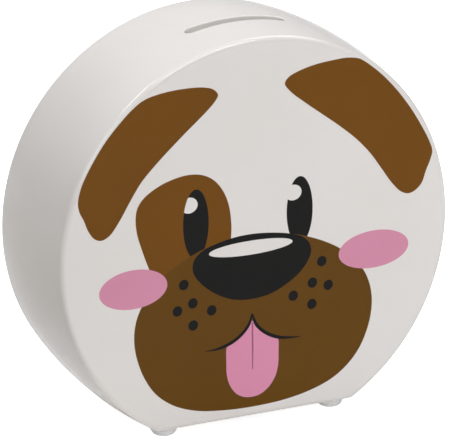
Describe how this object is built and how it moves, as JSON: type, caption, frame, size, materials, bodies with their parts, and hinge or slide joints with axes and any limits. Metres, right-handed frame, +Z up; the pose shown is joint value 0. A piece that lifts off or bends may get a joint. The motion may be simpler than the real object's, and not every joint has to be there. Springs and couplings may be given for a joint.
{
  "type": "ceramic coin bank",
  "caption": "Drum-shaped glazed ceramic coin bank with a printed puppy face, a coin slot on top, a flat base with stick-on feet and a push-in stopper.",
  "frame": {"origin": "centre of the footprint on the table plane, under the middle of the drum", "axes": "+Z up, +Y towards the plain back, so the printed face looks along -Y, and +X to the right as seen from the front"},
  "size_m": [0.127, 0.0444, 0.1201],
  "materials": {
    "glaze": "white glossy glaze with a face printed into the front",
    "soft_plastic": "soft satin milky plastic",
    "foot_rubber": "smooth white silicone rubber",
    "adhesive": "thin matt adhesive film"
  },
  "bodies": {
    "bank": {"ceramic_body": "glaze", "foot_front_left": "foot_rubber", "foot_front_right": "foot_rubber", "foot_back_left": "foot_rubber", "foot_back_right": "foot_rubber", "foot_adhesive_front_left": "adhesive", "foot_adhesive_front_right": "adhesive", "foot_adhesive_back_left": "adhesive", "foot_adhesive_back_right": "adhesive"},
    "stopper": {"stopper": "soft_plastic"}
  },
  "joints": [
    {"name": "stopper_pull", "type": "slide", "parent": "bank", "child": "stopper", "axis": [0, 0, -1], "range_m": [0, 0.03]}
  ]
}
